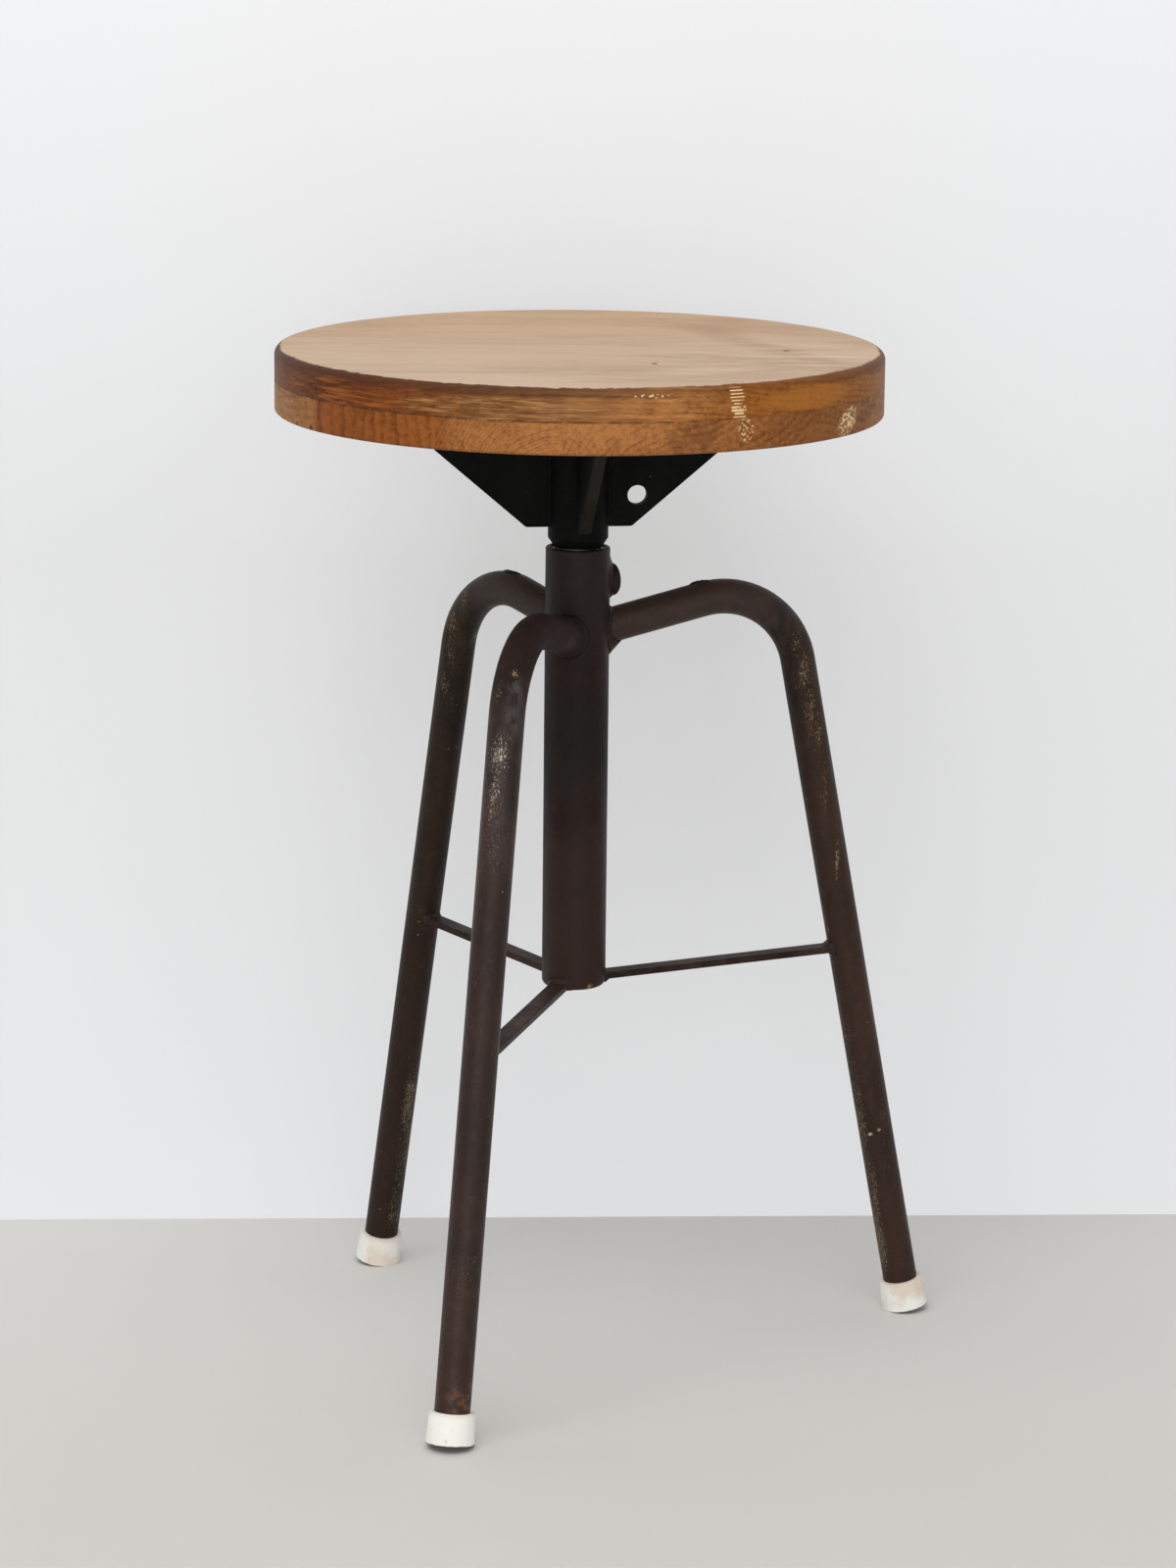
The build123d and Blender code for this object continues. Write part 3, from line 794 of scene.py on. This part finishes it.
def threaded_spindle():
    """Lifting screw: its right-hand thread, the plain journal under it and the bolt's hole in that."""
    low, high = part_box("spindle")
    shoulder = low.z + JOURNAL_LENGTH
    sides, rows_per_turn = 72, 14
    rings = [circle(radius, z, sides) for radius, z in (
        (BOLT_HOLE_RADIUS, low.z + BOLT_HOLE_DEPTH), (BOLT_HOLE_RADIUS, low.z),
        (JOURNAL_RADIUS, low.z), (JOURNAL_RADIUS, shoulder))]
    rows = int((high.z - shoulder) / THREAD_PITCH * rows_per_turn)
    for i in range(rows + 1):
        z = shoulder + (high.z - shoulder) * i / rows
        ring = []
        for k, angle in enumerate(turns(sides)):
            phase = ((z - shoulder) / THREAD_PITCH - k / sides) % 1.0
            rise = min(1.0, max(0.0, 2.6 - abs(phase - 0.5) * 8.0))
            rise = rise * rise * (3 - 2 * rise)
            radius = THREAD_ROOT + (THREAD_CREST - THREAD_ROOT) * rise
            ring.append(Vector((radius * cos(angle), radius * sin(angle), z)))
        rings.append(ring)
    return swept(rings, False)


def make_camera():
    pitch, yaw, roll = map(radians, CAMERA_ANGLES)
    ahead = Vector((sin(yaw) * cos(pitch), cos(yaw) * cos(pitch), -sin(pitch)))
    right = Vector((cos(yaw), -sin(yaw), 0.0))
    up = right.cross(ahead)
    turned_right = right * cos(roll) + up * sin(roll)
    turned_up = up * cos(roll) - right * sin(roll)
    data = bpy.data.cameras.new("camera")
    data.sensor_width = SENSOR_SIZE
    data.lens = FOCAL_PIXELS / HEIGHT_PIXELS * SENSOR_SIZE
    camera = linked("camera", data)
    camera.matrix_world = Matrix.Translation(CAMERA_PLACE) @ Matrix(
        (turned_right, turned_up, -ahead)).transposed().to_4x4()
    bpy.context.scene.camera = camera


def stage_plane(name, corners, tones, one_sided):
    """A plain stage surface: its tone near the camera, at the wall's foot and far away. A one-sided one is
    clear from behind, throws no shadow and shows a share of its own glow."""
    mesh = bpy.data.meshes.new(name)
    mesh.from_pydata(corners, [], [(0, 1, 2, 3)])
    s = Surface(name)
    mottle = s.noise(5.0, 3.0)
    # Paler towards the wall's foot: on the floor this is painted light
    plain = s.mix(s.steps_straight(s.y, -0.6, 0.2), tones[0], tones[1])
    plain = s.mix(s.steps(s.vector("LENGTH", s.place), 0.8, 4.0), plain, tones[2])
    darker = s.mix(1.0, plain, (0.96, 0.96, 0.96), "MULTIPLY")
    colour = s.mix(s.steps(mottle, 0.3, 0.7, 0.0, 0.25), plain, darker)
    material = s.finish(colour, 0.7, None, specular=0.2)
    if one_sided:
        rays = s.add("LightPath").outputs
        seen = either(s, rays["Is Camera Ray"], rays["Is Glossy Ray"], rays["Is Transmission Ray"])
        glow = s.add("Emission", [s.ramp(s.z, WALL_GLOW), 1.0])
        share = s.times(seen, WALL_GLOW_SHARE)
        lit = s.add("MixShader", [share, s.shader.outputs[0], glow.outputs[0]])
        clear = s.add("BsdfTransparent")
        behind = s.add("NewGeometry").outputs["Backfacing"]
        choose = s.add("MixShader", [behind, lit.outputs[0], clear.outputs[0]])
        s.feed(s.tree.nodes["Material Output"].inputs["Surface"], choose.outputs[0])
    mesh.materials.append(material)
    obj = linked(name, mesh)
    obj.visible_shadow = not one_sided


def area_light(name, place, aim, size, power):
    data = bpy.data.lights.new(name, "AREA")
    data.shape = "RECTANGLE"
    data.size, data.size_y = size
    data.energy = power
    lamp = linked(name, data)
    lamp.location = place
    lamp.rotation_mode = "QUATERNION"
    lamp.rotation_quaternion = (Vector(aim) - Vector(place)).to_track_quat("-Z", "Y")
    lamp.visible_camera = False


# The floor's half width; a stretch of the wall's foot, how often it repeats to each side, the wall's height
FLOOR_REACH = 40
WALL_FOOT = (Vector((-0.3817, 0.2254, 0.0)), Vector((0.4092, 0.2635, 0.0)))
WALL_LENGTHS = 7
WALL_HEIGHT = 4
# The floor's tones near the camera, at the wall's foot and far away; the paler tone at the wall's foot is
# painted light that makes up for the shade of the wall and the stool
FLOOR_TONES = [(0.565, 0.55, 0.508), (0.66, 0.651, 0.624), (0.88, 0.88, 0.87)]
WALL_TONE = (0.85, 0.862, 0.885)
# The wall's own glow by height in metres, and its share in what is seen of the wall
WALL_GLOW = [(0.0, (0.8, 0.805, 0.815)), (0.45, (0.7, 0.7, 0.698)), (1.0, (0.92, 0.928, 0.945))]
WALL_GLOW_SHARE = 0.5
WORLD_STRENGTH = 0.55
# Lamps: place, the point they shine at, width and height, and watts
LAMPS = {
    "key": ((-0.7, -1.7, 3.1), (0, 0.0, 0.3), (3.0, 2.4), 55),
    "fill": ((1.6, -2.6, 1.6), (0, 0, 0.3), (2.2, 2.2), 6),
    "front": ((-0.2, -3.2, 0.75), (0, 0, 0.4), (2.4, 1.3), 25),
}


def make_stage():
    corners = [(FLOOR_REACH * x, FLOOR_REACH * y, 0) for x, y in ((-1, -1), (1, -1), (1, 1), (-1, 1))]
    stage_plane("floor", corners, FLOOR_TONES, False)
    left, right = WALL_FOOT
    far = (right - left) * WALL_LENGTHS
    high = Vector((0, 0, WALL_HEIGHT))
    stage_plane("backdrop", [left - far, right + far, right + far + high, left - far + high],
                [WALL_TONE] * 3, True)
    world = bpy.data.worlds.new("studio")
    bpy.context.scene.world = world
    world.use_nodes = True
    background = world.node_tree.nodes["Background"]
    background.inputs["Color"].default_value = (1.0, 1.0, 1.0, 1.0)
    background.inputs["Strength"].default_value = WORLD_STRENGTH
    for name, lamp in LAMPS.items():
        area_light(name, *lamp)
    bpy.context.scene.view_settings.view_transform = "Standard"


# Growth rings of each board: their axis as (across, height), their spacing and how dark they are
LOWER_BOARDS = [
    ((-0.17, 0.76), 0.0065, 0.3),
    ((-0.42, 0.59), 0.0064, 0.66),
    ((-0.012, 0.558), 0.0021, 0.36),
    ((0.06, 0.54), 0.0034, 0.34),
    ((0.04, 0.7), 0.0045, 0.4),
    ((0.11, 0.5), 0.004, 0.4),
]
UPPER_BOARDS = [
    ((-0.25, 0.2), 0.003, 0.45),
    ((-0.18, 0.16), 0.0034, 0.5),
    ((-0.03, 1.0), 0.0036, 0.45),
    ((0.08, 0.2), 0.0034, 0.45),
    ((0.13, 1.05), 0.0036, 0.45),
    ((0.25, 0.24), 0.0032, 0.45),
]
# How dark a growth ring is from its inner to its outer side
RING_PROFILE = [(0.0, 0.25), (0.15, 0.0), (0.45, 0.15), (0.74, 0.75), (0.87, 1.0), (1.0, 0.25)]
# Tones round the seat's rim and how strongly its top edge is darkened, by azimuth in degrees
UPPER_RIM_TONES = [
    (-180, (0.172, 0.056, 0.012)), (-140, (0.124, 0.033, 0.007)), (-126, (0.178, 0.052, 0.012)),
    (-112, (0.2, 0.072, 0.02)), (-92, (0.29, 0.126, 0.042)), (-72, (0.48, 0.21, 0.064)),
    (-60, (0.318, 0.11, 0.021)), (-38, (0.318, 0.108, 0.016)), (-20, (0.32, 0.116, 0.022)),
    (90, (0.33, 0.135, 0.042)), (180, (0.2, 0.08, 0.03)),
]
LOWER_RIM_TONES = [
    (-180, (0.36, 0.168, 0.05)), (-149, (0.35, 0.15, 0.042)), (-146, (0.252, 0.076, 0.014)),
    (-117, (0.268, 0.085, 0.0185)), (-112, (0.375, 0.15, 0.043)), (-85, (0.375, 0.152, 0.045)),
    (-66, (0.37, 0.147, 0.045)), (-52, (0.32, 0.125, 0.036)), (-42, (0.25, 0.096, 0.026)),
    (-20, (0.33, 0.128, 0.032)), (90, (0.4, 0.16, 0.048)), (180, (0.44, 0.205, 0.07)),
]
EDGE_BAND = [
    (-180, 0.7), (-110, 0.66), (-85, 0.56), (-60, 0.35), (-40, 0.5), (-15, 0.62), (90, 0.7), (180, 0.7),
]
# Tones of the seat's top, whose pale front and back tones are partly painted sheen, and of the marks on the
# wood
TOP_FRONT, TOP_BACK, TOP_DRIFT = (0.52, 0.374, 0.262), (0.48, 0.316, 0.182), (0.345, 0.212, 0.116)
TOP_SHADE, TOP_SCUFF, TOP_FLECK = (0.33, 0.195, 0.1), (0.68, 0.58, 0.49), (0.05, 0.028, 0.016)
DARK_EDGE, SEAM, PALE_CHIP = (0.054, 0.022, 0.011), (0.05, 0.02, 0.008), (0.78, 0.58, 0.32)
FLAME, HONEY, PORES = (0.31, 0.092, 0.018), (0.39, 0.15, 0.026), (0.56, 0.34, 0.13)
KNOT, SCRATCH, NICK = (0.11, 0.045, 0.018), (0.1, 0.035, 0.012), (0.03, 0.013, 0.006)
SMUDGE, RUBBED, DIRT = (0.08, 0.03, 0.012), (0.36, 0.2, 0.07), (0.06, 0.03, 0.014)
# Marks on the rim: azimuth in degrees, height, half width, half height and, where it leans, slant
RIM_MARKS = {
    "flame": (-140.0, 0.6078, 0.058, 0.01),
    "honey": (-43.0, 0.6085, 0.04, 0.0075),
    "pores": (-105.0, 0.6062, 0.066, 0.008),
    "knot": (-109.7, 0.6075, 0.0068, 0.0085),
    "line": (-77.2, 0.6152, 0.011, 0.0012),
    "left_nick": (-154.5, 0.5825, 0.0013, 0.0026),
    "right_nick": (-148.6, 0.5825, 0.0018, 0.003),
    "smudge": (-69.0, 0.593, 0.016, 0.015, 0.3),
    "drips": (-58.7, 0.594, 0.006, 0.0085, -0.2),
    "rub": (-31.2, 0.5905, 0.0112, 0.0084, 0.6),
    "dirt": (-24.0, 0.5955, 0.02, 0.01),
}
# How far apart the scraped rows are, and the height where they are thickest
SCRAPE_SPACING = 0.0019
THICKEST_SCRAPE = 0.605
# Marks on the top: place, half width and half depth
SCUFFED_PLACE = ((0.115, -0.06), 0.085, 0.12)
FLECK_PLACES = [((0.0435, -0.0739), 0.0026, 0.0034), ((0.123, -0.0108), 0.0026, 0.0038)]


def dress_seat():
    for layer, boards in (("lower", LOWER_BOARDS), ("upper", UPPER_BOARDS)):
        for number, board in enumerate(boards, start=1):
            name = f"seat_{layer}_board_{number}"
            put(wood_material(name, board, number, layer == "upper"), name)


# The caps' tones, the sole's being painted shadow, and how stained each cap is
RUBBER = {
    "clean": (0.84, 0.83, 0.79), "stain": (0.68, 0.55, 0.41), "dirt": (0.36, 0.3, 0.24),
    "lip": (0.58, 0.5, 0.41), "sole_shadow": (0.03, 0.026, 0.022),
}
CAP_STAINS = {"right": 0.75, "left": 0.6, "front": 0.12}
# Each leg's paint: its two tones
LEG_TONES = {
    "right": ((0.038, 0.019, 0.0122), (0.026, 0.013, 0.0088)),
    "left": ((0.025, 0.0125, 0.0082), (0.0165, 0.0092, 0.0064)),
    "front": ((0.037, 0.019, 0.0152), (0.024, 0.0126, 0.0104)),
}
# How rough each leg's paint is and how strongly it shines
LEG_SHEEN = {"right": (0.46, 0.15), "left": (0.46, 0.14), "front": (0.4, 0.19)}
GOLD, SILVER, OLIVE = (0.35, 0.245, 0.12), (0.54, 0.47, 0.37), (0.235, 0.19, 0.11)
# The blue-grey tone is painted sheen on the front leg
SOOT, PAINTED_SHEEN, TAN = (0.0095, 0.008, 0.007), (0.078, 0.071, 0.074), (0.085, 0.049, 0.021)
# Flecks on each leg: tone, middle, half width, half height and how dense they are
LEG_FLECKS = {
    "right": [
        (GOLD, (0.1335, 0.0277, 0.4365), 0.007, 0.016, 0.85),
        (GOLD, (0.1393, 0.0294, 0.4185), 0.0085, 0.024, 1.0),
        (GOLD, (0.1435, 0.0306, 0.3938), 0.0075, 0.028, 0.95),
        (GOLD, (0.1486, 0.0324, 0.3794), 0.006, 0.024, 0.9),
        (GOLD, (0.1537, 0.0336, 0.3422), 0.0045, 0.032, 0.8),
        (GOLD, (0.162, 0.0362, 0.298), 0.0032, 0.022, 1.1),
        (SILVER, (0.1873, 0.0456, 0.1193), 0.0018, 0.0018, 2.0),
        (GOLD, (0.1927, 0.0449, 0.1221), 0.0016, 0.0016, 2.0),
        (GOLD, (0.1355, 0.0487, 0.433), 0.0075, 0.026, 1.0),
        (GOLD, (0.143, 0.0508, 0.395), 0.006, 0.034, 0.85),
    ],
    "left": [
        (GOLD, (-0.0702, 0.0661, 0.4546), 0.0085, 0.014, 0.9),
        (GOLD, (-0.0776, 0.0745, 0.4382), 0.0085, 0.019, 1.0),
        (OLIVE, (-0.0788, 0.0772, 0.4185), 0.0085, 0.03, 0.85),
        (OLIVE, (-0.0825, 0.0809, 0.3973), 0.007, 0.015, 0.95),
        (GOLD, (-0.0637, 0.0787, 0.4277), 0.0055, 0.014, 0.95),
        (OLIVE, (-0.0775, 0.0809, 0.3855), 0.011, 0.032, 0.6),
        (GOLD, (-0.0761, 0.089, 0.443), 0.0085, 0.02, 1.0),
        (GOLD, (-0.0805, 0.0942, 0.42), 0.0075, 0.032, 0.95),
        (SILVER, (-0.0735, 0.099, 0.4), 0.006, 0.03, 0.75),
    ],
    "front": [
        (GOLD, (-0.0359, -0.127, 0.4459), 0.0038, 0.0046, 1.2),
        (GOLD, (-0.0452, -0.1304, 0.435), 0.0048, 0.028, 0.85),
        (GOLD, (-0.0485, -0.1455, 0.369), 0.004, 0.027, 1.05),
        (SILVER, (-0.0445, -0.1409, 0.4007), 0.0105, 0.019, 1.1),
        (SILVER, (-0.0468, -0.144, 0.382), 0.007, 0.038, 0.9),
        (SILVER, (-0.0478, -0.15, 0.3493), 0.0085, 0.05, 0.65),
        (GOLD, (-0.0395, -0.125, 0.37), 0.0055, 0.03, 0.8),
    ],
}
# Smears on each leg, the blue-grey ones painted sheen: tone, middle, half width, half height and strength
LEG_SMEARS_AND_SHEEN = {
    "right": [
        (SOOT, (0.125, 0.029, 0.44), 0.015, 0.026, 0.9),
        (SOOT, (0.1306, 0.034, 0.4099), 0.012, 0.032, 0.9),
    ],
    "left": [
        (SOOT, (-0.072, 0.076, 0.42), 0.028, 0.06, 0.75),
        (TAN, (-0.0727, 0.0756, 0.422), 0.006, 0.02, 0.4),
        (TAN, (-0.075, 0.07, 0.448), 0.008, 0.012, 0.55),
    ],
    "front": [
        (PAINTED_SHEEN, (-0.044, -0.1455, 0.38), 0.011, 0.052, 0.32),
        (PAINTED_SHEEN, (-0.0347, -0.1311, 0.4375), 0.0052, 0.012, 0.7),
        (PAINTED_SHEEN, (-0.0362, -0.1363, 0.4218), 0.0054, 0.013, 0.7),
        (SOOT, (-0.0345, -0.1379, 0.3932), 0.0085, 0.016, 0.95),
        (SOOT, (-0.0358, -0.1416, 0.3736), 0.0085, 0.017, 0.9),
    ],
}
# Sides of a leg that are flecked all the way: which way they face and the heights they lie between
FLECKED_SIDES = {
    "right": [((-0.85, -0.53), 0.025, 0.22), ((0.28, 0.96), 0.025, 0.15)],
    "left": [((0.72, -0.69), 0.025, 0.16), ((-0.1, 0.99), 0.025, 0.2)],
    "front": [((0.3, 0.95), 0.025, 0.13)],
}
# Where spatter lies on top of a leg: how far out from the column's axis, and its length
BEND_SPATTER = {"left": (0.057, 0.014), "right": (0.075, 0.012)}
# Tones that a leg's root and bend, or a stretch of the column, take on: lowest and highest point, tone,
# strength and added roughness; and over how much height, up and down, they fade
# On the right and left legs the band is a paler purple-grey, partly the paint's own tone and partly painted
# sheen on the tops of the upper run and bend; on the front leg it darkens and dulls the root
LEG_ROOT_TONES_AND_SHEEN = {
    "right": [(0.447, 0.6, (0.07, 0.05, 0.046), 0.34, 0.0)],
    "left": [(0.452, 0.6, (0.066, 0.051, 0.043), 0.42, 0.0)],
    "front": [(0.438, 0.6, (0.0135, 0.007, 0.006), 0.6, 0.45)],
}
COLUMN_BANDS = [
    (0.445, 0.6, (0.0205, 0.0158, 0.0152), 0.5, 0.0),
    (0.352, 0.408, (0.01, 0.0102, 0.0088), 0.6, 0.1),
    (0.0, 0.325, (0.034, 0.0185, 0.0152), 0.6, 0.0),
]
BAND_FADE = 0.015
RUST, FILLER, GREEN_BLACK = (0.13, 0.056, 0.026), (0.45, 0.27, 0.07), (0.009, 0.0095, 0.008)
DROPLET, PLATE_EDGE = (0.4, 0.38, 0.35), (0.0175, 0.016, 0.0135)
# Spots: middle, radius and tone
LEG_SPOTS = {"right": [], "left": [], "front": [((-0.0585, -0.2065, 0.03), 0.017, RUST)]}
COLUMN_SPOTS = [((0.0105, -0.016, 0.229), 0.0035, FILLER), ((-0.014, -0.014, 0.385), 0.045, GREEN_BLACK)]
# The other paints' two tones, and how rough and shiny the bracket is
BRACE_TONES = ((0.04, 0.0215, 0.0168), (0.015, 0.0088, 0.0072))
COLUMN_TONES = ((0.0215, 0.0102, 0.0084), (0.0135, 0.007, 0.006))
BRACKET_TONES = ((0.0044, 0.0044, 0.0042), (0.003, 0.003, 0.0029))
BRACKET_SHEEN = (0.55, 0.06)
STEEL, BRASS, PLASTIC = (0.3, 0.28, 0.25), (0.55, 0.4, 0.16), (0.75, 0.73, 0.66)


def dress_metal():
    for leg, tones in LEG_TONES.items():
        paint = paint_material(f"{leg}_leg_paint", *tones, *LEG_SHEEN[leg], leg=leg, spots=LEG_SPOTS[leg],
                               bands=LEG_ROOT_TONES_AND_SHEEN[leg])
        put(paint, f"leg_{leg}")
        put(rubber_material(f"foot_rubber_{leg}", leg, CAP_STAINS[leg]), f"foot_cap_{leg}")
    brace_paint = paint_material("brace_paint", *BRACE_TONES, specular=0.1)
    put(brace_paint, *(f"brace_{leg}" for leg in LEGS))
    column_paint = paint_material("column_paint", *COLUMN_TONES, specular=0.12, spots=COLUMN_SPOTS,
                                  bands=COLUMN_BANDS, droplets=False)
    put(column_paint, "column_tube", "lock_boss")
    bracket_paint = paint_material("bracket_paint", *BRACKET_TONES, *BRACKET_SHEEN, droplets=False)
    put(bracket_paint, "hub_tube", "seat_flange")
    for number, pair in enumerate((("right", "left"), ("front", "rear"))):
        turn = GUSSET_AZIMUTH + pi / 2 * number
        gusset_paint = paint_material(f"gusset_paint_{pair[0]}", *BRACKET_TONES, *BRACKET_SHEEN, plate=turn)
        put(gusset_paint, *(f"gusset_{side}" for side in pair))
    steel = metal_material("bare_steel", STEEL, 0.38)
    put(steel, "column_nut", "spindle_stop_washer", "spindle_stop_bolt", "lock_screw", "seat_screws")
    put(metal_material("pad_brass", BRASS, 0.4), "lock_pad")
    put(plain_plastic("guide_plastic", PLASTIC), "spindle_guide_ring")
    for number, leg in enumerate(LEGS):
        make_piece(f"leg_weld_{leg}", *leg_root_weld(leg, number), column_paint, "frame", "frame_steel")
        make_piece(f"brace_welds_{leg}", *brace_welds(leg, number + 7), brace_paint, "frame", "frame_steel")
    for leg, (distance, length) in BEND_SPATTER.items():
        spatter = bend_spatter(leg, distance, length, distance * 90)
        make_piece(f"bend_spatter_{leg}", *spatter, column_paint, "frame", "frame_steel")
    make_piece("lock_boss_weld", *boss_weld(20), column_paint, "frame", "frame_steel")
    make_piece("bracket_welds", *bracket_welds(), bracket_paint, "seat", "bracket_steel")
    make_piece("hub_weld", *hub_weld(31), bracket_paint, "seat", "bracket_steel")
    screw = make_piece("spindle_thread", *threaded_spindle(), steel, "seat", "bare_steel")
    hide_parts("spindle")


make_camera()
make_stage()
dress_seat()
dress_metal()
